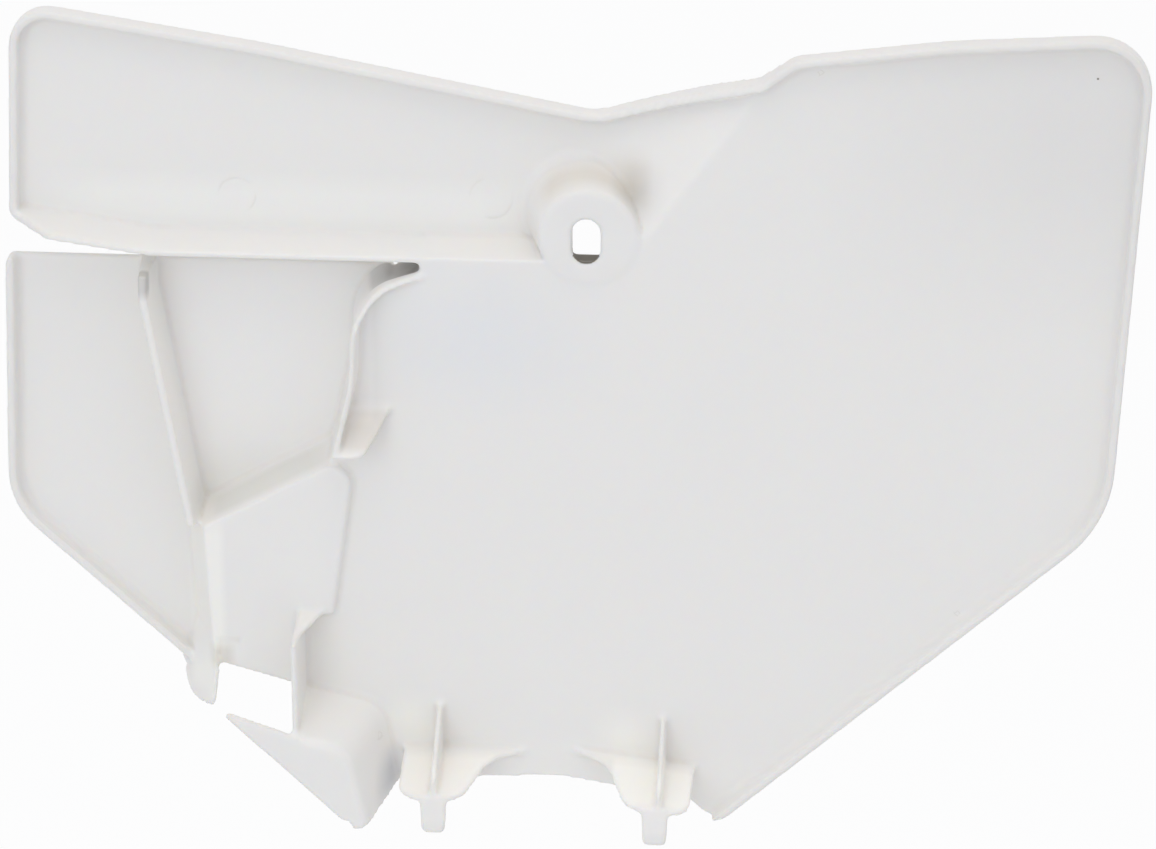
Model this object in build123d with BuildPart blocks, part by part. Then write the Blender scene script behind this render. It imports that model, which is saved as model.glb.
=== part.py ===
from build123d import *
from math import cos, radians, sin, tan
import os

os.makedirs("parts", exist_ok=True)

# Side number board of a motocross bike: one moulding in white polypropylene.
# X runs along the board and Z is up. The inner face, with its ribs, looks towards -Y.
# The origin is the centre of the screw slot, level with the number field.
# A height is measured from the number field towards the bike, so it points along -Y.

# Walls and levels
wall = 2.2
skin_depth = 19.0  # the arm, the lobe and the pocket floor lie this far outside the field
block_depth = 20.0  # the form goes on this far under its lowest level
rim_height = 6.0
rim_width = 3.2
rim_foot = 3.0
field_draft = 6.0
reach = 260.0  # half size of the form that the outline trims
deep = 60.0  # half length of the prisms that trim the form
overlap = 1.0  # joined pieces run into each other by this

# Screw seat
slot_width = 10.4
slot_length = 17.0
seat_top = (1.0, 1.5, 18.3)  # centre and radius of the flat ring
seat_foot = (-2.7, 5.2, 21.0)  # the same where its wall meets the arm
seat_rise = 0.6
seat_edge = 1.2
seat_flare = (2.5, 2.5)  # the foot of the wall widens by this over this depth

# Ridge between the field and the arm
ridge_x = 13.8  # where the ridge crosses the flange line
ridge_angle = 54.5
ridge_radius = 5.0
ridge_cover = 4.0  # the field starts this far behind the ridge
ridge_length = 130.0
ramp_angle = 37.0
ramp_radius = 55.0

# Flange under the arm
flange_z = -8.0
flange_end = 197.0
flange_bend = (-160.0, 80.0)  # X and radius of the bend in it
flange_draft = 5.0
slit_end = 58.0
slit_corner = (2.5, 13.5)  # the lobe's corner lies this far left of the slit's end, high and low
slit_drop = 4.4

# Outline: the arm
arm_reach = 211.0
arm_top = 80.5
arm_bottom = -2.5
arm_crown = (-120.0, 66.6)
arm_corner = 14.0
arm_heel = 5.0
valley = (2.6, 43.2)
valley_radius = 20.0

# Outline: the number field
field_top_z = 84.2
field_tip_z = -235.3
step_low = (61.6, 63.3)
step_high = (74.0, 72.6)
step_radius = 8.0
field_crown = (128.5, 79.6)
field_top = (201.0, field_top_z)
field_top_radius = 20.0
field_side = (192.4, -103.9)
field_side_radius = 50.0
field_tip = (48.6, field_tip_z)
field_tip_radius = 8.0
tip_notch = (40.0, field_tip_z + 8.5)
hem_crown = (-10.0, field_tip_z + 17.5)
hem_radius = 60.0
hem_left_z = field_tip_z + 13.8
window_right = (-107.0, -181.6)
window_left = (-137.0, -173.0)
crown_radius = 200.0
small_corner = 1.0

# Outline: the lobe
ear_root = (-156.6, -175.8)
ear_root_radius = 4.0
ear_foot = (-154.0, -189.0)
ear_foot_radius = 4.0
lobe_side = (-218.3, -117.7)
lobe_radius = 32.0
lobe_corner = 3.0
lobe_top_z = -17.4
lobe_reach = 214.8

# Pocket, curved rib and plateau
pocket_bend = (-84.5, -21.5)
pocket_bend_radius = 22.0
pocket_waist = (-85.5, -52.0)
pocket_waist_radius = 40.0
pocket_end = (-91.5, -78.0)
pocket_end_radius = 20.0
plateau_rise = 3.0
plateau_vertex = (-142.3, -116.8)
plateau_foot = (-139.6, -173.0)
plateau_corner = (-92.5, -89.0)
plateau_corner_radius = 5.0
plateau_shoulder = (-86.5, -96.0)
plateau_shoulder_radius = 3.0
plateau_waist = (-94.5, -152.0)
plateau_flare = 8.7
plateau_draft = 8.0

# V rib
leg_top = (-163.2, -17.0)
leg_bend = (-163.4, -26.0)
leg_foot = (-148.4, -117.0)
leg_width = 3.0
leg_draft = 4.0

# Curved rib and its web
rib_width = 2.2
rib_rise = 20.0
rib_knee = (14.5, -29.0)  # height and Z where the edge of the rib bends over
rib_knee_radius = 14.0
rib_foot_z = -80.5
rib_foot_radius = 4.0
web_z = -66.0
web_angle = 33.0
web_reach = -71.0
web_shoulder = -80.0
web_radius = 5.0

# Fin and ear
fin_x = -106.6
fin_width = 2.4
fin_reach = 27.0
fin_top_z = -149.5
fin_slope = 3.0
fin_web_end = -96.0
fin_web_angle = 8.0
ear_reach = 8.0
ear_lead = 13.0  # the ear starts this far above the corner of the window
ear_tip_z = -197.0
ear_right = (-139.8, -190.5)
ear_left = (-151.6, -195.2)
ear_radius = 5.5
recess_left = -138.6
recess_width = 9.6
recess_depth = 1.2
recess_top_z = -162.5
recess_length = 10.0

# Hook
hook_reach = 29.0
hook_left = (-105.6, -182.1)
hook_right = (-76.0, -189.0)
hook_foot = (-70.0, -221.0)
hook_near_left = (-105.4, -190.3)
hook_near_right = (-87.2, -194.5)
hook_toe_right = (-80.0, -227.2)
hook_toe_left = (-85.2, -228.8)
hook_toe_radius = 2.5
hook_tip = (-136.0, -179.5)
hook_tip_radius = 1.2
hook_bend = 13.0
hook_edge = 4.0

# Shelves and tongues
shelf_reach = 32.0
shelf_straight = 13.3
shelf_shoulder = 10.4
shelf_elbow = (19.0, 7.0)
shelf_elbow_radius = 14.0
shelf_end = 36.5
shelf_radius = 8.0
gusset_width = 2.0
gusset_height = 19.0
gusset_nose = 5.7
tongue_width = 10.2
tongue_taper = 0.7
tongue_length = 15.6
tongue_thickness = 2.5
tongue_radius = 2.0
left_shelf = (-55.0, -206.6)
left_shelf_angle = 8.5
left_shelf_roll = 0.0
right_shelf = (27.8, -209.4)
right_shelf_angle = 8.0
right_shelf_roll = 7.0
right_gusset_shift = 1.5

# Sleeve round the screw slot on the outer side
sleeve_depth = 9.0
sleeve_width = 11.0
sleeve_length = 18.0
sleeve_wall = 2.4


def level(height):
    """The plane at a height above the number field."""
    return Plane.XZ.offset(height)


def side(x):
    """The plane across the board at x, where a point is its height and its Z."""
    return Plane(origin=(x, 0, 0), x_dir=(0, -1, 0), z_dir=(-1, 0, 0))


def beyond(start, end, more):
    """The point that lies further along the line from start through end."""
    line = Vector(*end) - Vector(*start)
    point = Vector(*end) + line.normalized() * more
    return point.X, point.Y


def corner_face(corners):
    """A face from corner points that each carry their radius, in the open sketch."""
    with BuildLine() as edge:
        FilletPolyline([c[:2] for c in corners], radius=[c[2] for c in corners], close=True)
    make_face(edge.edges())


def plain_face(*points, mode=Mode.ADD):
    """A face with sharp corners, in the open sketch."""
    with BuildLine() as edge:
        Polyline(*points, close=True)
    make_face(edge.edges(), mode=mode)


ridge_along = (cos(radians(ridge_angle)), sin(radians(ridge_angle)))
ridge_back = ridge_x + ridge_cover / ridge_along[1]
ridge_top = (ridge_back + ridge_length * ridge_along[0], flange_z + ridge_length * ridge_along[1])

arm_edge = [
    (-arm_reach - 1.7, arm_bottom, arm_heel),
    (-arm_reach + 2, arm_top, arm_corner),
    (*arm_crown, crown_radius),
    (*valley, valley_radius),
]
field_edge = [
    (*step_low, step_radius),
    (*step_high, step_radius),
    (*field_crown, crown_radius),
    (*field_top, field_top_radius),
    (*field_side, field_side_radius),
]
hem_edge = [
    (*field_tip, field_tip_radius),
    (*tip_notch, small_corner),
    (*hem_crown, hem_radius),
    (hook_foot[0] - wall / 2, hem_left_z, small_corner),
    (hook_right[0] - wall / 2, hook_right[1] - wall / 2, hook_bend - wall / 2),
    (hook_left[0], hook_left[1] - wall / 2, 0),
    (*window_right, 0),
    (*window_left, 0),
    (*ear_foot, ear_foot_radius),
    (*ear_root, ear_root_radius),
]
lobe_edge = [
    (*lobe_side, lobe_radius),
    (-lobe_reach, lobe_top_z, lobe_corner),
]
slit_edge = [
    (-slit_end - slit_corner[1], lobe_top_z, small_corner),
    (-slit_end - slit_corner[0], lobe_top_z + slit_drop, small_corner),
    (-slit_end - slit_corner[0], flange_z - wall, small_corner),
    (flange_bend[0], flange_z - wall, flange_bend[1]),
]

# The rim runs straight on past the lower edge, where the outline trims it
rim_edge = [
    (*beyond(field_side, field_tip, reach / 4), 0),
    (*beyond(lobe_side, ear_root, reach / 2), 0),
]

field_corners = [
    (*ridge_top, 0),
    (ridge_back, flange_z, 0),
    (-slit_end, flange_z, 0),
    (-slit_end, flange_z - 5, small_corner),
    (*pocket_bend, pocket_bend_radius),
    (*pocket_waist, pocket_waist_radius),
    (*pocket_end, pocket_end_radius),
    (fin_x - 6, fin_top_z, 0),
    (fin_x - 6, -reach, 0),
    (reach, -reach, 0),
    (reach, ridge_top[1], 0),
]


def moulded_form(inset):
    """The block under the inner face, drawn in everywhere by the inset."""
    low = -skin_depth - inset
    with BuildPart() as form:
        with BuildSketch(level(low)):
            Rectangle(2 * reach, 2 * reach)
        extrude(amount=-block_depth)
        # Number field
        with BuildSketch(level(-inset)):
            corner_face(field_corners)
            if inset:
                offset(amount=-inset, kind=Kind.INTERSECTION, mode=Mode.REPLACE)
        extrude(amount=low + inset - overlap, taper=-field_draft)
        # Ramp from the arm up to the rounded ridge
        ramp_plane = Plane(
            origin=(ridge_x, 0, flange_z),
            x_dir=(-ridge_along[1], 0, ridge_along[0]),
            z_dir=(ridge_along[0], 0, ridge_along[1]),
        )
        crest = -inset * tan(radians(ramp_angle / 2))
        foot = crest + skin_depth / tan(radians(ramp_angle))
        with BuildSketch(ramp_plane):
            corner_face([
                (-2 * ridge_cover, -inset, 0),
                (crest, -inset, ridge_radius - inset),
                (foot, low, ramp_radius + inset),
                (foot + ramp_radius, low, 0),
                (foot + ramp_radius, low - overlap, 0),
                (-2 * ridge_cover, low - overlap, 0),
            ])
        extrude(amount=ridge_length)
        # Plateau between the V rib and the window
        plateau_block(inset)
        add(seat_block(inset))
    return form.part


def seat_block(inset):
    """The screw seat: a leaning cone with a rounded upper edge and a flared foot."""
    full = seat_rise + skin_depth
    share = (full - seat_flare[1]) / full
    flare = tuple(seat_top[i] + (seat_foot[i] - seat_top[i]) * share for i in range(3))
    sections = [
        (seat_rise, *seat_top),
        (seat_rise - full + seat_flare[1], *flare),
        (seat_rise - full, seat_foot[0], seat_foot[1], seat_foot[2] + seat_flare[0]),
    ]
    with BuildPart() as seat:
        for height, x, z, radius in sections:
            with BuildSketch(level(height - inset)):
                with Locations((x, z)):
                    Circle(radius - inset)
        loft(ruled=True)
        if not inset:
            fillet(seat.edges().group_by(Axis.Y)[0], seat_edge)
    return seat.part


def plateau_block(inset):
    """Adds the plateau to the open form: its left wall leans more than the others."""
    depth = plateau_rise + skin_depth
    lean = depth * tan(radians(plateau_draft))
    drift = (plateau_foot[0] - plateau_vertex[0]) / (plateau_foot[1] - plateau_vertex[1])
    far_x = plateau_vertex[0] - drift * (reach + plateau_vertex[1])
    with BuildSketch(level(plateau_rise - inset)) as top:
        corner_face([
            (*plateau_vertex, 0),
            (*plateau_corner, plateau_corner_radius),
            (*plateau_shoulder, plateau_shoulder_radius),
            (*plateau_waist, 0),
            (fin_x, plateau_waist[1], 0),
            (fin_x, -reach, 0),
            (far_x, -reach, 0),
        ])
        if inset:
            offset(amount=-inset, kind=Kind.INTERSECTION, mode=Mode.REPLACE)
    with BuildSketch(level(-skin_depth - inset)) as bottom:
        corner_face([
            (plateau_vertex[0] - plateau_flare, plateau_vertex[1] - 1, 0),
            (plateau_corner[0] - lean / 2, plateau_corner[1] + lean, plateau_corner_radius),
            (plateau_shoulder[0] + lean, plateau_shoulder[1], plateau_shoulder_radius),
            (plateau_waist[0] + lean, plateau_waist[1], 0),
            (fin_x + lean, plateau_waist[1], 0),
            (fin_x + lean, -reach, 0),
            (far_x - plateau_flare, -reach, 0),
        ])
        if inset:
            offset(amount=-inset, kind=Kind.INTERSECTION, mode=Mode.REPLACE)
    loft([top.sketch.face(), bottom.sketch.face()], ruled=True)


def corner_web(x_wall, x_end, z, rise, angle):
    """Adds a leaning three-cornered web that stands on the field and runs out at x_end."""
    lean = radians(angle)
    tilted = Plane(origin=(x_wall, 0, z), x_dir=(1, 0, 0), z_dir=(0, sin(lean), -cos(lean)))
    length = x_end - x_wall
    with BuildSketch(tilted) as web:
        plain_face((0, -overlap), (0, rise / cos(lean)), (length, 0), (length, -overlap))
    extrude(web.sketch, amount=wall)


def support(place, angle, roll, hand, gusset_x):
    """A shelf with its gusset and its tongue; hand points to the long side."""
    x, z = place
    slope = radians(angle)
    near = shelf_reach / cos(slope)
    drop = shelf_reach * tan(slope)
    rolled = radians(roll)
    tilted = Plane(
        origin=(x, 0, z), x_dir=(cos(rolled), 0, -sin(rolled)),
        z_dir=(-cos(slope) * sin(rolled), sin(slope), -cos(slope) * cos(rolled)),
    )
    with BuildPart() as made:
        with BuildSketch(tilted):
            corner_face([
                (-hand * (shelf_straight + tongue_taper), -overlap, 0),
                (-hand * shelf_straight, near, shelf_radius),
                (hand * shelf_shoulder, near, shelf_radius),
                (hand * shelf_elbow[0], shelf_elbow[1], shelf_elbow_radius),
                (hand * shelf_end, -overlap, 0),
            ])
        extrude(amount=wall)
        with BuildSketch(side(gusset_x)):
            plain_face(
                (-overlap, z + gusset_height), (0, z + gusset_height),
                (shelf_reach, z - drop + gusset_nose), (shelf_reach, z - drop - overlap),
                (-overlap, z - overlap),
            )
        extrude(amount=gusset_width / 2, both=True)
        with BuildSketch(level(shelf_reach)):
            corner_face([
                (x - tongue_width / 2, z - drop, 0),
                (x + tongue_width / 2, z - drop, 0),
                (x + tongue_width / 2 - tongue_taper, z - drop - tongue_length, tongue_radius),
                (x - tongue_width / 2 + tongue_taper, z - drop - tongue_length, tongue_radius),
            ])
        extrude(amount=-tongue_thickness)
    return made.part


def ear_strip(low_x, low, high_x, high):
    """The corners of the ear's wall at one Z, from its low end to its high end."""
    return (low_x, -low), (high_x, -high), (high_x + wall, -high), (low_x + wall, -low)


def hook_hollow(left, right, foot):
    """The corners of the hook's hollow at one level; it runs out on the open sides."""
    turn = (right[0] - wall, right[1] - wall)
    start = beyond(turn, (left[0], left[1] - wall), hook_reach)
    end = beyond(turn, (foot[0] - wall, foot[1]), hook_reach)
    return start, turn, end, (start[0], end[1])


def hook_wedge(height, far, near, bend):
    """A wedge from the field up to a height, rounded along its second corner."""
    with BuildPart() as wedge:
        with BuildSketch(level(-overlap)):
            plain_face(*far)
        with BuildSketch(level(height)):
            plain_face(*near)
        loft(ruled=True)
        corner = (Vector(far[1][0], overlap, far[1][1]) + Vector(near[1][0], -height, near[1][1])) / 2
        fillet(wedge.edges().sort_by_distance(corner)[0], bend)
    return wedge.part


inner_form = moulded_form(0)
outer_form = moulded_form(wall)

rim_corners = arm_edge + field_edge + rim_edge + lobe_edge
with BuildSketch(Plane.XZ) as rim_plan:
    corner_face(rim_corners)
    offset(amount=-rim_width, kind=Kind.INTERSECTION, mode=Mode.REPLACE)
rim_line = rim_plan.sketch.face().outer_wire()


def on_rim_foot(edge):
    """True for an edge where the inner side of the rim stands on the skin."""
    middle = edge @ 0.5
    if middle.X < field_tip[0] and middle.Z < ear_root[1]:
        return False
    if rim_line.distance_to(Vertex(middle.X, 0, middle.Z)) > 0.05:
        return False
    return inner_form.distance_to(Vertex(*middle)) < 0.01


with BuildPart() as rims:
    with BuildSketch(level(-deep)):
        corner_face(rim_corners)
        offset(amount=-rim_width, kind=Kind.INTERSECTION, mode=Mode.SUBTRACT)
    extrude(amount=2 * deep)
    add(inner_form.moved(Location((0, -rim_height, 0))), mode=Mode.INTERSECT)

with BuildPart() as lipped_form:
    add(inner_form)
    add(rims.part)
    fillet([edge for edge in lipped_form.edges() if on_rim_foot(edge)], rim_foot)

with BuildPart() as flange:
    with BuildSketch(level(0)):
        corner_face([
            (-slit_end + overlap, flange_z - 2 * wall, 0),
            (-slit_end + overlap, flange_z, 0),
            (flange_bend[0], flange_z, flange_bend[1]),
            (-arm_reach, arm_bottom + wall, 0),
            (-reach, arm_bottom + wall, 0),
            (-reach, flange_z - 2 * wall, 0),
        ])
    extrude(amount=-skin_depth - overlap, taper=-flange_draft)
    # Its end leans back from the near edge
    with BuildSketch(Plane.XY.offset(-deep)):
        plain_face(
            (-slit_end, 0), (-flange_end, 0), (-reach, reach - flange_end), (-slit_end, reach - flange_end),
        )
    extrude(amount=2 * deep, mode=Mode.INTERSECT)

with BuildPart() as curved_rib:
    with BuildSketch(level(-overlap)):
        corner_face(field_corners)
        offset(amount=-rib_width, kind=Kind.INTERSECTION, mode=Mode.SUBTRACT)
        plain_face(
            (-reach, rib_foot_z - wall), (web_reach, rib_foot_z - wall),
            (-slit_end, flange_z - slit_drop), (-reach, flange_z - slit_drop), mode=Mode.INTERSECT,
        )
    extrude(amount=rib_rise + 2 * overlap)
    with BuildSketch(side(-reach)):
        corner_face([
            (-2 * overlap, flange_z - slit_drop, 0),
            (*rib_knee, rib_knee_radius),
            (rib_rise, rib_foot_z, rib_foot_radius),
            (-2 * overlap, rib_foot_z, 0),
        ])
    extrude(amount=-reach, mode=Mode.INTERSECT)

with BuildPart() as rib_web:
    lean = radians(web_angle)
    tilted = Plane(origin=(web_reach, 0, web_z), x_dir=(1, 0, 0), z_dir=(0, sin(lean), -cos(lean)))
    with BuildSketch(tilted):
        web_rise = rib_rise / cos(lean)
        corner_face([
            (0, -2 * overlap, 0),
            (0, 0, 0),
            (web_shoulder - web_reach, web_rise, web_radius),
            (-reach, web_rise, 0),
            (-reach, -2 * overlap, 0),
        ])
    extrude(amount=wall)
    with BuildSketch(level(-overlap)):
        corner_face(field_corners)
    extrude(amount=2 * rib_rise, mode=Mode.INTERSECT)

# The leaning wall of the plateau runs on past the edge and ends as an ear
with BuildPart() as ear:
    ear_top_z = window_left[1] + ear_lead
    with BuildSketch(Plane.XY.offset(ear_top_z)):
        ear_low_x = plateau_foot[0] - plateau_flare + overlap / 2
        plain_face(*ear_strip(ear_low_x, -skin_depth, plateau_foot[0], plateau_rise - overlap / 2))
    with BuildSketch(Plane.XY.offset(ear_tip_z)):
        plain_face(*ear_strip(ear_left[0] - ear_radius, overlap - skin_depth, plateau_foot[0], ear_reach))
    loft(ruled=True)
    with BuildSketch(level(-deep)):
        corner_face([
            (window_left[0] + ear_radius, ear_top_z, 0),
            (*window_left, 0),
            (*ear_right, ear_radius),
            (*ear_left, ear_radius),
            (ear_root[0] - overlap, ear_root[1], 0),
            (ear_root[0] - overlap, ear_top_z, 0),
        ])
    extrude(amount=2 * deep, mode=Mode.INTERSECT)

with BuildPart() as hook:
    add(hook_wedge(
        hook_reach,
        (hook_left, hook_right, hook_foot, (hook_foot[0] - 2 * hook_edge, hook_foot[1])),
        (hook_near_left, hook_near_right, hook_toe_right, hook_toe_left),
        hook_bend,
    ))
    near_edges = hook.edges().filter_by_position(Axis.Y, -hook_reach, -hook_reach)
    near_corner = Vector(hook_near_right[0], -hook_reach, hook_near_right[1])
    fillet(near_edges.sort_by_distance(near_corner)[0:3], hook_edge)
    add(hook_wedge(
        hook_reach - wall,
        hook_hollow(hook_left, hook_right, hook_foot),
        hook_hollow(hook_near_left, hook_near_right, hook_toe_right),
        hook_bend - wall,
    ), mode=Mode.SUBTRACT)
    # Plate that runs out to the tip
    with BuildSketch(level(hook_reach)):
        corner_face([
            (*hook_tip, hook_tip_radius),
            (*hook_near_left, 0),
            ((hook_near_right[0] + hook_toe_left[0]) / 2, (hook_near_right[1] + hook_toe_left[1]) / 2, 0),
            (*hook_toe_left, hook_toe_radius),
        ])
    extrude(amount=-wall)

with BuildPart() as number_board:
    add(lipped_form.part)
    add(flange.part)
    add(outer_form, mode=Mode.SUBTRACT)
    with BuildSketch(level(-deep)):
        corner_face(arm_edge + field_edge + hem_edge + lobe_edge + slit_edge)
    extrude(amount=2 * deep, mode=Mode.INTERSECT)
    # V rib
    with BuildSketch(level(plateau_rise)):
        plain_face(
            leg_top, leg_bend, leg_foot, (leg_foot[0] + leg_width, leg_foot[1]),
            (leg_bend[0] + leg_width, leg_bend[1]), (leg_top[0] + leg_width, leg_top[1]),
        )
    extrude(amount=-plateau_rise - skin_depth - overlap, taper=-leg_draft)
    # Curved rib beside the pocket
    add(curved_rib.part)
    add(rib_web.part)
    # Fin on the edge of the plateau, with the web at its upper end
    with BuildSketch(side(fin_x)):
        plain_face(
            (-overlap, fin_top_z), (fin_reach, fin_top_z - fin_slope), (fin_reach, hook_near_left[1]),
            (hook_reach - wall, hook_near_left[1]), (-overlap, window_right[1]),
        )
    extrude(amount=fin_width / 2, both=True)
    corner_web(fin_x, fin_web_end, fin_top_z + overlap, fin_reach - fin_slope, fin_web_angle)
    add(ear.part)
    # Shallow recess beside the ear, deepest at its upper end
    with BuildSketch(side(recess_left)):
        plain_face(
            (plateau_rise - recess_depth, recess_top_z), (plateau_rise, recess_top_z - recess_length),
            (plateau_rise + overlap, recess_top_z - recess_length), (plateau_rise + overlap, recess_top_z),
        )
    extrude(amount=-recess_width, mode=Mode.SUBTRACT)
    add(hook.part)
    # Shelves on the lower edge
    add(support(left_shelf, left_shelf_angle, left_shelf_roll, 1, left_shelf[0]))
    add(support(right_shelf, right_shelf_angle, right_shelf_roll, -1, right_shelf[0] + right_gusset_shift))
    # Screw slot, with a flat-floored sleeve behind it
    with BuildSketch(level(-overlap)):
        Rectangle(sleeve_width + 2 * sleeve_wall, sleeve_length + 2 * sleeve_wall)
    extrude(amount=overlap - wall - sleeve_depth)
    with BuildSketch(level(-wall)):
        Rectangle(sleeve_width, sleeve_length)
    extrude(amount=-sleeve_depth - overlap, mode=Mode.SUBTRACT)
    with BuildSketch(level(seat_rise + overlap)):
        SlotOverall(slot_length, slot_width, rotation=90)
    extrude(amount=-seat_rise - 2 * overlap - wall, mode=Mode.SUBTRACT)

number_board.part.label = "number_board"
export_step(number_board.part, "parts/number_board.step")
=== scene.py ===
"""Dresses the side number board of a motocross bike and lights it in a plain studio.

The board is one moulding in white polypropylene, and model.glb holds it as one solid. This
script softens the moulding's edges, gives it the finish of moulded plastic with the marks that
the mould leaves, paints shade and light into its colour in set places, and sets up the floor,
the lamps and the camera.
"""
import logging
import math
from dataclasses import dataclass
from enum import Enum
from typing import Optional, Union

import bpy
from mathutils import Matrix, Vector


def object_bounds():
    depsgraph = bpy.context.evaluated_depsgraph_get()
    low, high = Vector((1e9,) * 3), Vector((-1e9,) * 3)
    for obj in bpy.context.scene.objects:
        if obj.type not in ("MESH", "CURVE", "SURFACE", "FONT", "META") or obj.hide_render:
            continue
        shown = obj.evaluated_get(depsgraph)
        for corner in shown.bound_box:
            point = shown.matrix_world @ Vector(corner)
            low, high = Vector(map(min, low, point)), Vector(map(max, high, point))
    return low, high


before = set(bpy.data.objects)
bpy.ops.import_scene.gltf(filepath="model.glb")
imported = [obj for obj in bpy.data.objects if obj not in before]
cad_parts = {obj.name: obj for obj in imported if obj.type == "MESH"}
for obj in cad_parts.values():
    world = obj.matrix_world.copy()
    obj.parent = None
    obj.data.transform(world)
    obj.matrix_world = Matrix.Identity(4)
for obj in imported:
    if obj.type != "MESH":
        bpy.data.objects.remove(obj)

CAD_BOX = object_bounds()

log = logging.getLogger("number_board")

Colour = tuple[float, float, float]
Point = tuple[float, float, float]
Span = tuple[float, float]
Socket = bpy.types.NodeSocket
Feed = Union[bpy.types.NodeSocket, float, tuple[float, ...]]

MM = 0.001
ZERO: Point = (0.0, 0.0, 0.0)
ONE: Point = (1.0, 1.0, 1.0)
RISING: Span = (0.0, 1.0)
FALLING: Span = (1.0, 0.0)


class LampRole(Enum):
    """What a lamp does for the picture."""

    KEY = "key_lamp"
    TOP = "top_lamp"


class Faces(Enum):
    """Which faces of the moulding a tone lies on."""

    INNER = "inner"
    ALL = "all"


class Blend(Enum):
    """How a second colour goes into a first one."""

    OVER = "MIX"
    THROUGH = "MULTIPLY"


def in_metres(sizes: Point) -> Point:
    """Turns three sizes in millimetres into metres."""
    return tuple(size * MM for size in sizes)


def opaque(colour: Colour) -> tuple[float, float, float, float]:
    """Adds full cover to a colour, as a colour socket takes it."""
    return (*colour, 1.0)


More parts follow.
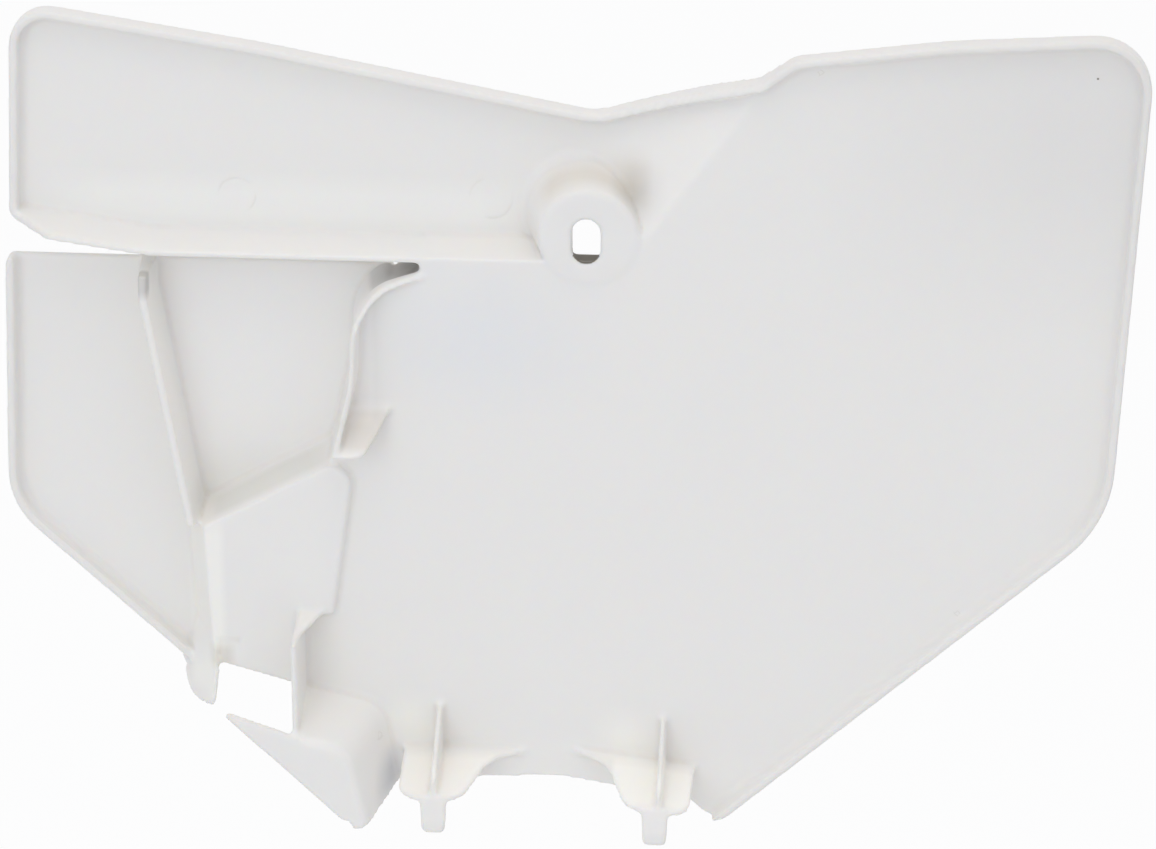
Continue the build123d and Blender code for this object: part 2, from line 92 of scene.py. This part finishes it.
@dataclass(frozen=True)
class Net:
    """The nodes and links of one material or of the world."""

    nodes: bpy.types.Nodes
    links: bpy.types.NodeLinks

    @classmethod
    def emptied(cls, tree: bpy.types.NodeTree) -> "Net":
        """Clears a node tree and takes hold of it.

        Args:
            tree: Node tree of a material or world.

        Returns:
            The empty net.
        """
        tree.nodes.clear()
        return cls(tree.nodes, tree.links)

    def feed(self, socket: Socket, value: Feed) -> None:
        """Links a result into a socket, or sets a constant on it.

        Args:
            socket: The socket that takes the value.
            value: A result, or a plain number, vector or colour.
        """
        if isinstance(value, bpy.types.NodeSocket):
            self.links.new(value, socket)
        else:
            socket.default_value = value

    def number(self, operation: str, *values: Feed) -> Socket:
        """Adds one step of arithmetic on numbers.

        Args:
            operation: What the step does.
            values: What goes into it, in order.

        Returns:
            The result.
        """
        step = self.nodes.new("ShaderNodeMath")
        step.operation = operation
        for socket, value in zip(step.inputs, values):
            self.feed(socket, value)
        return step.outputs["Value"]

    def vector(self, operation: str, *values: Feed) -> Socket:
        """Adds one step of arithmetic on vectors.

        Args:
            operation: What the step does.
            values: What goes into it, in order.

        Returns:
            The result, which is a number for a distance or a dot product.
        """
        step = self.nodes.new("ShaderNodeVectorMath")
        step.operation = operation
        for socket, value in zip(step.inputs, values):
            self.feed(socket, value)
        gives_number = operation in ("DISTANCE", "DOT_PRODUCT")
        return step.outputs["Value" if gives_number else "Vector"]

    def axes(self, value: Socket) -> bpy.types.NodeOutputs:
        """Splits a vector along the axes.

        Args:
            value: The vector.

        Returns:
            Its parts, under the names X, Y and Z.
        """
        split = self.nodes.new("ShaderNodeSeparateXYZ")
        self.links.new(value, split.inputs["Vector"])
        return split.outputs

    def ramp(self, value: Socket, over: Span, result: Span = RISING) -> Socket:
        """Adds a straight ramp that stays level beyond its two ends.

        Args:
            value: What the ramp runs over.
            over: Values at the ramp's two ends.
            result: Results at the ramp's two ends.

        Returns:
            The result.
        """
        ramp = self.nodes.new("ShaderNodeMapRange")
        self.links.new(value, ramp.inputs["Value"])
        ramp.inputs["From Min"].default_value = over[0]
        ramp.inputs["From Max"].default_value = over[1]
        ramp.inputs["To Min"].default_value = result[0]
        ramp.inputs["To Max"].default_value = result[1]
        return ramp.outputs["Result"]

    def noise(self, place: Socket, scale: float, detail: float) -> Socket:
        """Adds a noise texture.

        Args:
            place: Position on the moulding.
            scale: Waves to the metre.
            detail: Octaves of finer noise.

        Returns:
            The noise, about 0.5 on average.
        """
        noise = self.nodes.new("ShaderNodeTexNoise")
        noise.inputs["Scale"].default_value = scale
        noise.inputs["Detail"].default_value = detail
        self.links.new(place, noise.inputs["Vector"])
        return noise.outputs["Fac"]

    def blend(self, way: Blend, share: Socket, first: Feed, second: Feed) -> Socket:
        """Blends a second colour into a first one.

        Args:
            way: How the second colour goes in.
            share: How much of it goes in.
            first: The first colour.
            second: The second colour.

        Returns:
            The blended colour.
        """
        mix = self.nodes.new("ShaderNodeMix")
        mix.data_type = "RGBA"
        mix.blend_type = way.value
        self.feed(mix.inputs["Factor"], share)
        self.feed(mix.inputs["A"], first)
        self.feed(mix.inputs["B"], second)
        return mix.outputs["Result"]

    def bump(self, height: Socket, depth: float, below: Optional[Socket] = None) -> Socket:
        """Adds relief to the surface, upwards or, with a negative depth, downwards.

        Args:
            height: Where the relief is.
            depth: How far it stands out, in metres.
            below: Normal of the relief that this one lies on.

        Returns:
            The new normal.
        """
        bump = self.nodes.new("ShaderNodeBump")
        bump.invert = depth < 0
        bump.inputs["Distance"].default_value = abs(depth)
        self.links.new(height, bump.inputs["Height"])
        if below:
            self.links.new(below, bump.inputs["Normal"])
        return bump.outputs["Normal"]

    def shaders(self, share: Socket, first: Socket, second: Socket) -> Socket:
        """Mixes two shaders.

        Args:
            share: How much of the second one shows.
            first: The first shader.
            second: The second shader.

        Returns:
            The mixed shader.
        """
        mix = self.nodes.new("ShaderNodeMixShader")
        for socket, value in zip(mix.inputs, (share, first, second)):
            self.links.new(value, socket)
        return mix.outputs["Shader"]

    def seen_directly(self) -> Socket:
        """Tells rays that look, also in a mirror or through glass, from light bounces.

        Returns:
            A socket that is 1 for the rays that look.
        """
        path = self.nodes.new("ShaderNodeLightPath").outputs
        seen = self.number("MAXIMUM", path["Is Camera Ray"], path["Is Glossy Ray"])
        return self.number("MAXIMUM", seen, path["Is Transmission Ray"])


def bare_material(name: str) -> tuple[bpy.types.Material, Net, Socket]:
    """Makes a material with nothing but its output.

    Args:
        name: Name of the new material.

    Returns:
        The material, its net, and the socket that takes its shader.
    """
    made = bpy.data.materials.new(name)
    made.use_nodes = True
    net = Net.emptied(made.node_tree)
    out = net.nodes.new("ShaderNodeOutputMaterial")
    return made, net, out.inputs["Surface"]


@dataclass(frozen=True)
class TonedPlace:
    """A soft-edged box, in millimetres, of painted shade or painted light in the plastic's
    colour, or one dust speck.
    """

    name: str
    middle: Point
    half: Point
    fade: Point
    tone: Colour
    faces: Faces = Faces.INNER

    def apply(self, net: Net, place: Socket, inner: Socket, colour: Socket) -> Socket:
        """Multiplies the tone into a colour inside the box.

        Args:
            net: The material's net.
            place: Position on the moulding.
            inner: Where the inner faces are.
            colour: The colour so far.

        Returns:
            The colour with this place in it.
        """
        core = tuple(half - fade for half, fade in zip(self.half, self.fade))
        off = net.vector("SUBTRACT", place, in_metres(self.middle))
        past = net.vector("SUBTRACT", net.vector("ABSOLUTE", off), in_metres(core))
        faded = net.vector("DIVIDE", past, in_metres(self.fade))
        faded = net.vector("MINIMUM", net.vector("MAXIMUM", faded, ZERO), ONE)
        axes = net.axes(net.vector("SUBTRACT", ONE, faded))
        inside = net.number("MULTIPLY", axes["X"], axes["Y"])
        inside = net.number("MULTIPLY", inside, axes["Z"])
        if self.faces is Faces.INNER:
            inside = net.number("MULTIPLY", inside, inner)
        toned = net.blend(Blend.THROUGH, inside, colour, opaque(self.tone))
        toned.node.label = self.name
        return toned


@dataclass(frozen=True)
class EjectorMark:
    """The ring that an ejector pin leaves on the inner face, in millimetres."""

    middle: Point
    radius: float
    line: float = 0.7

    def ring(self, net: Net, place: Socket) -> Socket:
        """Finds the ring's line.

        Args:
            net: The material's net.
            place: Position on the moulding.

        Returns:
            A socket that is 1 on the line and 0 away from it.
        """
        apart = net.vector("DISTANCE", place, in_metres(self.middle))
        off = net.number("ABSOLUTE", net.number("SUBTRACT", apart, self.radius * MM))
        return net.ramp(off, (0.0, self.line * MM), FALLING)


# Boxes of painted shade and painted light; the last one is a real dust speck.
PAINTED_SHADE_LIGHT_AND_SPECK: tuple[TonedPlace, ...] = (
    # painted shade: the slot's floor made dark brown
    TonedPlace(
        "painted_shade_in_slot", (0.0, 5.8, -7.5), (5.9, 5.8, 2.2), (0.3, 0.6, 0.4),
        (0.15, 0.125, 0.085), Faces.ALL,
    ),
    # painted shade: the hollow under the flange's right end made dark
    TonedPlace(
        "painted_shade_under_flange", (-54.0, 9.6, -17.0), (32.0, 8.6, 6.0), (26.0, 0.8, 2.0),
        (0.29, 0.27, 0.25),
    ),
    # painted shade: the notch at the V rib's top made darker
    TonedPlace(
        "painted_shade_in_v_rib_notch", (-161.8, -0.5, -19.0), (3.2, 4.0, 8.0), (1.5, 2.5, 4.0),
        (0.68, 0.68, 0.67),
    ),
    # painted shade: the seat's wall made darker and warmer
    TonedPlace(
        "painted_shade_on_seat_wall", (1.0, 8.5, 20.5), (23.0, 9.5, 13.0), (9.0, 8.0, 9.0),
        (0.90, 0.87, 0.82),
    ),
    # painted shadow: the boss's shadow on the ramp to its right
    TonedPlace(
        "painted_shadow_right_of_seat", (18.5, 9.5, 15.5), (11.0, 11.0, 13.0), (9.0, 9.0, 11.0),
        (0.85, 0.845, 0.83),
    ),
    # painted shade: the curved rib's web made darker
    TonedPlace(
        "painted_shade_on_curved_rib_web", (-80.0, -10.0, -76.0), (12.0, 9.0, 12.0), (4.0, 3.0, 4.0),
        (0.92, 0.90, 0.875),
    ),
    # painted shade: the V rib's foot wall made darker
    TonedPlace(
        "painted_shade_on_v_rib_foot", (-116.0, 8.0, -103.0), (26.0, 9.0, 15.0), (4.0, 4.0, 5.0),
        (0.92, 0.925, 0.905),
    ),
    # painted light: the left shelf made lighter
    TonedPlace(
        "painted_light_on_left_shelf", (-53.0, -18.0, -212.0), (20.0, 16.0, 12.0), (2.0, 6.0, 3.0),
        (1.08, 1.07, 1.06),
    ),
    # painted light: the right shelf made lighter
    TonedPlace(
        "painted_light_on_right_shelf", (30.0, -18.0, -214.0), (20.0, 16.0, 12.0), (2.0, 6.0, 3.0),
        (1.11, 1.10, 1.09),
    ),
    # painted shade: a cool, slightly darker zone of the field below the flange
    TonedPlace(
        "painted_cool_shade_on_field", (-40.0, 0.0, -40.0), (52.0, 2.0, 34.0), (44.0, 0.8, 28.0),
        (0.965, 0.98, 1.01),
    ),
    # painted shade: the right side of the field made darker
    TonedPlace(
        "painted_shade_on_right_of_field", (175.0, -1.0, 40.0), (95.0, 7.0, 80.0), (85.0, 3.0, 70.0),
        (0.95, 0.95, 0.95),
    ),
    # painted shade: the hook's flank made darker and cooler
    TonedPlace(
        "painted_shade_on_hook_flank", (-72.5, -10.0, -216.0), (6.0, 14.0, 12.0), (5.0, 8.0, 10.0),
        (0.74, 0.76, 0.80),
    ),
    # painted light: the strip above the ear made lighter
    TonedPlace(
        "painted_light_above_ear", (-143.0, 8.0, -152.0), (9.0, 16.0, 40.0), (3.0, 4.0, 8.0),
        (1.07, 1.07, 1.05),
    ),
    # painted light: the pocket's floor made lighter
    TonedPlace(
        "painted_light_on_pocket_floor", (-122.0, 18.5, -58.0), (40.0, 3.0, 46.0), (12.0, 1.0, 14.0),
        (1.03, 1.03, 1.04),
    ),
    # painted light: the left gusset's foot made lighter
    TonedPlace(
        "painted_light_on_left_gusset_foot", (-66.0, -1.5, -195.0), (13.0, 5.0, 13.0), (11.0, 3.0, 11.0),
        (1.06, 1.06, 1.04),
    ),
    # painted light: the right gusset's foot made lighter
    TonedPlace(
        "painted_light_on_right_gusset_foot", (15.0, -1.5, -200.0), (14.0, 5.0, 14.0), (12.0, 3.0, 12.0),
        (1.06, 1.06, 1.04),
    ),
    # painted light: the V rib's leg wall made lighter
    TonedPlace(
        "painted_light_on_v_rib_leg", (-152.0, 7.0, -65.0), (18.0, 10.5, 46.0), (2.0, 3.0, 8.0),
        (1.07, 1.065, 1.05),
    ),
    # painted light: the curved rib's wall made lighter
    TonedPlace(
        "painted_light_on_curved_rib_wall", (-86.0, 4.0, -50.0), (9.0, 13.0, 28.0), (2.0, 3.0, 8.0),
        (1.05, 1.05, 1.06),
    ),
    # painted shade: the recess beside the ear made darker
    TonedPlace(
        "painted_shade_in_ear_recess", (-137.0, -1.0, -170.0), (6.0, 6.0, 6.0), (4.0, 3.0, 4.0),
        (0.87, 0.86, 0.83),
    ),
    # painted light: the arm above the flange made lighter
    TonedPlace(
        "painted_light_on_arm_above_flange", (-110.0, 19.0, 4.0), (100.0, 2.0, 13.0), (30.0, 0.8, 9.0),
        (1.04, 1.045, 1.045),
    ),
    TonedPlace(
        "speck", (180.9, -0.1, 67.0), (0.5, 0.6, 0.5), (0.3, 0.3, 0.3),
        (0.25, 0.22, 0.19),
    ),
)


@dataclass(frozen=True)
class MouldedPolypropylene:
    """White polypropylene as it comes out of a satin mould, with painted shade and painted
    light in its colour.
    """

    white: Colour = (0.845, 0.828, 0.792)
    cloud: Colour = (0.832, 0.816, 0.782)
    cloud_scale: float = 14.0
    cloud_detail: float = 3.0
    grain_scale: float = 1500.0
    grain_detail: float = 2.0
    grain_depth: float = 0.00002
    wave_scale: float = 38.0
    wave_detail: float = 1.0
    wave_depth: float = 0.00006
    patch_detail: float = 2.0
    patch_range: Span = (0.3, 0.7)
    patch_roughness: Span = (0.30, 0.42)
    light_bending: float = 1.49
    sheen: float = 0.28
    glow_share: float = 0.6
    glow_depth: float = 0.0022
    glow_radius: Colour = (1.0, 0.82, 0.58)
    edge_turn: Span = (0.512, 0.56)
    crease_turn: Span = (0.488, 0.455)
    sharpest_turn: float = 0.59
    # the darker tone of sharp edges
    sharp_edge_tone: Colour = (0.780, 0.760, 0.720)
    worn_roughness: float = 0.22
    # painted shade for the creases, darker and warmer
    crease_shade: Colour = (0.955, 0.935, 0.905)
    outward_lean: Span = (0.04, 0.14)
    ring_tone: Colour = (0.95, 0.945, 0.935)
    ring_depth: float = 0.00012
    ring_break_scale: float = 120.0
    ring_break_detail: float = 0.0
    ring_break_range: Span = (0.38, 0.55)
    shade_light_and_speck_boxes: tuple[TonedPlace, ...] = PAINTED_SHADE_LIGHT_AND_SPECK
    rings: tuple[EjectorMark, ...] = (
        EjectorMark((-129.1, 19.0, 7.1), 6.8),
        EjectorMark((-36.0, 19.0, 8.5), 7.8),
    )

    def material(self, name: str) -> bpy.types.Material:
        """Builds the node material.

        Args:
            name: Name of the new material.

        Returns:
            The material, ready to go into a slot.
        """
        made, net, surface = bare_material(name)
        plastic = net.nodes.new("ShaderNodeBsdfPrincipled")
        net.links.new(plastic.outputs["BSDF"], surface)
        plastic.inputs["IOR"].default_value = self.light_bending
        plastic.inputs["Specular IOR Level"].default_value = self.sheen
        plastic.inputs["Subsurface Weight"].default_value = self.glow_share
        plastic.inputs["Subsurface Scale"].default_value = self.glow_depth
        plastic.inputs["Subsurface Radius"].default_value = self.glow_radius

        where = net.nodes.new("ShaderNodeTexCoord").outputs
        place = where["Object"]
        inner = net.ramp(net.axes(where["Normal"])["Y"], self.outward_lean, FALLING)
        edges = self._bend(net, self.edge_turn)
        rings = self._rings(net, place, inner)
        colour = self._tone(net, place, inner, edges, rings)
        net.links.new(colour, plastic.inputs["Base Color"])
        net.links.new(self._roughness(net, place, edges), plastic.inputs["Roughness"])
        net.links.new(self._relief(net, place, rings), plastic.inputs["Normal"])
        return made

    def _bend(self, net: Net, turn: Span) -> Socket:
        """Finds edges or creases by how sharply the surface turns; 0.5 is flat.

        Args:
            net: The material's net.
            turn: Turn at which the edge or crease starts, and at which it counts in full.

        Returns:
            A socket that is 1 on the edge or in the crease and 0 on flat faces.
        """
        sharpness = net.nodes.new("ShaderNodeNewGeometry").outputs["Pointiness"]
        believed = net.number("LESS_THAN", sharpness, self.sharpest_turn)
        return net.number("MULTIPLY", net.ramp(sharpness, turn), believed)

    def _rings(self, net: Net, place: Socket, inner: Socket) -> Socket:
        """Gathers the ejector marks and breaks their lines up, as uneven pressure does.

        Args:
            net: The material's net.
            place: Position on the moulding.
            inner: Where the inner faces are.

        Returns:
            A socket that is 1 on the lines and 0 elsewhere.
        """
        breaks = net.noise(place, self.ring_break_scale, self.ring_break_detail)
        lines, *others = [mark.ring(net, place) for mark in self.rings]
        for other in others:
            lines = net.number("MAXIMUM", lines, other)
        lines = net.number("MULTIPLY", lines, net.ramp(breaks, self.ring_break_range))
        return net.number("MULTIPLY", lines, inner)

    def _tone(
        self, net: Net, place: Socket, inner: Socket, edges: Socket, rings: Socket
    ) -> Socket:
        """Makes the colour: a slightly warm white with clouds, darker sharp edges, painted
        shade in the creases, the ejector marks, and the boxes of painted shade and light.

        Args:
            net: The material's net.
            place: Position on the moulding.
            inner: Where the inner faces are.
            edges: Where the edges are.
            rings: Where the ejector marks are.

        Returns:
            The colour.
        """
        clouds = net.noise(place, self.cloud_scale, self.cloud_detail)
        creases = self._bend(net, self.crease_turn)
        colour = net.blend(Blend.OVER, clouds, opaque(self.white), opaque(self.cloud))
        # sharp edges made darker
        colour = net.blend(Blend.OVER, edges, colour, opaque(self.sharp_edge_tone))
        # painted shade: the creases made darker and warmer
        colour = net.blend(Blend.THROUGH, creases, colour, opaque(self.crease_shade))
        colour = net.blend(Blend.THROUGH, rings, colour, opaque(self.ring_tone))
        # painted shade and painted light in set boxes, and one dust speck
        for toned in self.shade_light_and_speck_boxes:
            colour = toned.apply(net, place, inner, colour)
        return colour

    def _roughness(self, net: Net, place: Socket, edges: Socket) -> Socket:
        """Varies the roughness in broad soft patches and roughens the edges.

        Args:
            net: The material's net.
            place: Position on the moulding.
            edges: Where the edges are.

        Returns:
            The roughness.
        """
        patches = net.noise(place, self.wave_scale, self.patch_detail)
        plain = net.ramp(patches, self.patch_range, self.patch_roughness)
        return net.number("MULTIPLY_ADD", edges, self.worn_roughness, plain)

    def _relief(self, net: Net, place: Socket, rings: Socket) -> Socket:
        """Adds the mould's fine grain, the slow waves of shrinkage and the ejector marks.

        Args:
            net: The material's net.
            place: Position on the moulding.
            rings: Where the ejector marks are.

        Returns:
            The normal.
        """
        waves = net.noise(place, self.wave_scale, self.wave_detail)
        grains = net.noise(place, self.grain_scale, self.grain_detail)
        normal = net.bump(waves, self.wave_depth)
        normal = net.bump(grains, self.grain_depth, normal)
        return net.bump(rings, -self.ring_depth, normal)


@dataclass(frozen=True)
class PaleFloorFinish:
    """Matt white studio paper that shows as white and keeps a soft shadow."""

    paper: Colour = (0.93, 0.93, 0.93)
    own_light: float = 0.9

    def material(self, name: str) -> bpy.types.Material:
        """Builds the node material.

        Args:
            name: Name of the new material.

        Returns:
            The material, ready to go into a slot.
        """
        made, net, surface = bare_material(name)
        paper = net.nodes.new("ShaderNodeBsdfDiffuse")
        paper.inputs["Color"].default_value = opaque(self.paper)
        white = net.nodes.new("ShaderNodeEmission")
        share = net.number("MULTIPLY", net.seen_directly(), self.own_light)
        mixed = net.shaders(share, paper.outputs["BSDF"], white.outputs["Emission"])
        net.links.new(mixed, surface)
        return made


@dataclass
class NumberBoard:
    """The moulding itself, as model.glb holds it."""

    node: str = "number_board"
    joined_gap: float = 0.001 * MM
    cell: float = 0.9 * MM
    soft_share: float = 0.5
    soft_rounds: int = 6
    kept_faces: float = 0.25
    finish: MouldedPolypropylene = MouldedPolypropylene()

    def build(self) -> bpy.types.Object:
        """Softens the edges and dresses the moulding.

        Returns:
            The moulding's object.
        """
        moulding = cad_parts[self.node]
        self._soften(moulding)
        self._dress(moulding)
        return moulding

    def _soften(self, moulding: bpy.types.Object) -> None:
        """Rounds the sharp edges a little, as a moulding's are.

        Args:
            moulding: The moulding's object.
        """
        joined = moulding.modifiers.new("joined_faces", "WELD")
        joined.merge_threshold = self.joined_gap
        cells = moulding.modifiers.new("even_cells", "REMESH")
        cells.mode = "VOXEL"
        cells.voxel_size = self.cell
        cells.use_smooth_shade = True
        soft = moulding.modifiers.new("soft_edges", "SMOOTH")
        soft.factor = self.soft_share
        soft.iterations = self.soft_rounds
        lean = moulding.modifiers.new("fewer_faces", "DECIMATE")
        lean.ratio = self.kept_faces

    def _dress(self, moulding: bpy.types.Object) -> None:
        """Puts the finish on the whole moulding."""
        moulding.data.materials.clear()
        moulding.data.materials.append(self.finish.material("white_polypropylene_and_painted_shade"))


@dataclass(frozen=True)
class RoomSide:
    """One side of the studio room and the soft light that comes from it."""

    towards: Point
    light: Colour

    def shine(self, net: Net, ray: Socket, total: Feed) -> Socket:
        """Adds this side's light to the room's.

        Args:
            net: The world's net.
            ray: The direction that a ray leaves in.
            total: The light of the sides so far.

        Returns:
            The light with this side in it.
        """
        facing = net.vector("DOT_PRODUCT", ray, self.towards)
        share = net.number("MAXIMUM", facing, 0.0)
        return net.vector("MULTIPLY_ADD", share, self.light, total)


@dataclass(frozen=True)
class SoftLamp:
    """A square soft lamp that looks at the board; its place is from the board's middle."""

    role: LampRole
    place: Point
    power: float
    tint: Colour
    size: float = 1.4

    def hang(self, target: Point) -> None:
        """Hangs the lamp.

        Args:
            target: The middle of the board, which the lamp looks at.
        """
        light = bpy.data.lights.new(self.role.value, "AREA")
        light.shape = "SQUARE"
        light.size = self.size
        light.energy = self.power
        light.color = self.tint
        lamp = bpy.data.objects.new(self.role.value, light)
        lamp.location = Vector(target) + Vector(self.place)
        lamp.rotation_mode = "QUATERNION"
        lamp.rotation_quaternion = Vector(self.place).to_track_quat("Z", "Y")
        bpy.context.scene.collection.objects.link(lamp)


@dataclass
class Studio:
    """The floor, the world, the lamps and the camera, in metres."""

    floor_size: float = 12.0
    floor_gap: float = 0.30
    room: tuple[RoomSide, ...] = (
        RoomSide((0.0, -1.0, 0.0), (0.302, 0.346, 0.428)),
        RoomSide((0.0, 0.0, 1.0), (0.803, 0.799, 0.808)),
        RoomSide((0.0, 0.0, -1.0), (0.378, 0.416, 0.526)),
        RoomSide((1.0, 0.0, 0.0), (0.427, 0.436, 0.478)),
        RoomSide((-1.0, 0.0, 0.0), (0.320, 0.325, 0.362)),
    )
    lamps: tuple[SoftLamp, ...] = (
        SoftLamp(LampRole.KEY, (-0.75, -2.3, 0.75), 9.7, (0.885, 0.94, 1.0)),
        SoftLamp(LampRole.TOP, (0.0, -0.6, 2.2), 7.2, (1.0, 0.94, 0.85)),
    )
    target: Point = (-2.9 * MM, 0.0, -72.1 * MM)
    camera_distance: float = 1.8
    camera_height: float = math.radians(24.0)
    camera_turn: float = math.radians(4.0)
    camera_clip: Span = (0.1, 50.0)
    picture_width: int = 1156
    focal_pixels: float = 4911.3
    sensor: float = 36.0

    def build(self) -> None:
        """Sets up everything round the board."""
        self._floor()
        self._world()
        for lamp in self.lamps:
            lamp.hang(self.target)
        self._camera()
        bpy.context.scene.view_settings.view_transform = "Standard"

    def _floor(self) -> None:
        """Lays a wide pale floor below the board."""
        half = self.floor_size / 2
        level = CAD_BOX[0].z - self.floor_gap
        corners = [
            (-half, -half, level),
            (half, -half, level),
            (half, half, level),
            (-half, half, level),
        ]
        mesh = bpy.data.meshes.new("studio_floor")
        mesh.from_pydata(corners, [], [(0, 1, 2, 3)])
        floor = bpy.data.objects.new("studio_floor", mesh)
        bpy.context.scene.collection.objects.link(floor)
        mesh.materials.append(PaleFloorFinish().material("pale_paper"))

    def _world(self) -> None:
        """Fills in soft light from all round, and shows white to whatever looks at it."""
        world = bpy.data.worlds.new("soft_room")
        world.use_nodes = True
        net = Net.emptied(world.node_tree)
        out = net.nodes.new("ShaderNodeOutputWorld")
        ray = net.nodes.new("ShaderNodeTexCoord").outputs["Generated"]
        total: Feed = ZERO
        for side in self.room:
            total = side.shine(net, ray, total)
        room = net.nodes.new("ShaderNodeBackground")
        net.links.new(total, room.inputs["Color"])
        white = net.nodes.new("ShaderNodeBackground")
        white.inputs["Color"].default_value = opaque(ONE)
        mixed = net.shaders(
            net.seen_directly(), room.outputs["Background"], white.outputs["Background"]
        )
        net.links.new(mixed, out.inputs["Surface"])
        bpy.context.scene.world = world

    def _camera(self) -> None:
        """Places the camera at the picture's viewing angle."""
        level = math.cos(self.camera_height)
        back = Vector((
            math.sin(self.camera_turn) * level,
            -math.cos(self.camera_turn) * level,
            math.sin(self.camera_height),
        ))
        lens = bpy.data.cameras.new("picture_camera")
        lens.sensor_fit = "HORIZONTAL"
        lens.sensor_width = self.sensor
        lens.lens = self.focal_pixels * self.sensor / self.picture_width
        lens.clip_start, lens.clip_end = self.camera_clip
        camera = bpy.data.objects.new("picture_camera", lens)
        camera.location = Vector(self.target) + back * self.camera_distance
        camera.rotation_mode = "QUATERNION"
        camera.rotation_quaternion = (-back).to_track_quat("-Z", "Y")
        bpy.context.scene.collection.objects.link(camera)
        bpy.context.scene.camera = camera


def main() -> None:
    """Builds the board and its studio."""
    logging.basicConfig(level=logging.INFO)
    moulding = NumberBoard().build()
    log.info("dressed %s", moulding.name)
    Studio().build()
    log.info("studio is set")


if __name__ == "__main__":
    main()
